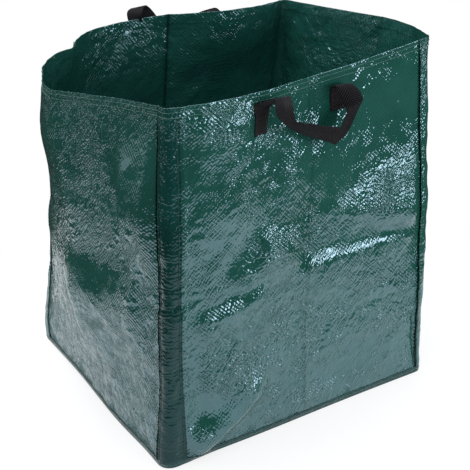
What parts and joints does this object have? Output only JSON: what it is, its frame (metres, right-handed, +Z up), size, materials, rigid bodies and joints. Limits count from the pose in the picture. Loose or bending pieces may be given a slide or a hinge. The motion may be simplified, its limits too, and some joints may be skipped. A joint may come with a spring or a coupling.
{
  "type": "garden waste bag",
  "caption": "Open square garden waste bag of coated woven fabric, free standing, with webbing carry handles on the front and back walls.",
  "frame": {"origin": "middle of the underside of the base, on the floor", "axes": "+Z up; the front wall, which has the handle in full view in the picture, faces -Y and +X runs to its right as seen from the front"},
  "size_m": [0.7746, 0.7279, 0.7047],
  "materials": {
    "coated_woven_green": "dark green woven plastic tape with a glossy coating",
    "thread_green": "sewing thread, a little lighter than the fabric",
    "webbing_black": "matt black woven webbing"
  },
  "bodies": {
    "bag": {"front_panel": "coated_woven_green", "right_panel": "coated_woven_green", "back_panel": "coated_woven_green", "left_panel": "coated_woven_green", "base_panel": "coated_woven_green", "corner_band_front_left": "coated_woven_green", "corner_band_front_right": "coated_woven_green", "corner_band_back_right": "coated_woven_green", "corner_band_back_left": "coated_woven_green", "base_thread": "thread_green", "rim_thread_upper": "thread_green", "rim_thread_lower": "thread_green", "corner_thread_front_left_left": "thread_green", "corner_thread_front_left_right": "thread_green", "corner_thread_front_right_left": "thread_green", "corner_thread_front_right_right": "thread_green", "corner_thread_back_right_left": "thread_green", "corner_thread_back_right_right": "thread_green", "corner_thread_back_left_left": "thread_green", "corner_thread_back_left_right": "thread_green", "front_handle_thread_left": "thread_green", "front_handle_thread_right": "thread_green", "back_handle_thread_left": "thread_green", "back_handle_thread_right": "thread_green", "front_handle_end_left": "webbing_black", "front_handle_end_right": "webbing_black", "back_handle_end_left": "webbing_black", "back_handle_end_right": "webbing_black"},
    "front_handle": {"front_handle_loop": "webbing_black"},
    "back_handle": {"back_handle_loop": "webbing_black"}
  },
  "joints": [
    {"name": "front_handle_swing", "type": "hinge", "parent": "bag", "child": "front_handle", "pos_m": [-0.00066, -0.35286, 0.66916], "axis": [-0.9769, -0.192, 0.0939], "range_deg": [0, 150]},
    {"name": "back_handle_swing", "type": "hinge", "parent": "bag", "child": "back_handle", "pos_m": [0.07672, 0.29222, 0.69587], "axis": [0.9621, -0.261, -0.0794], "range_deg": [0, 150]}
  ]
}
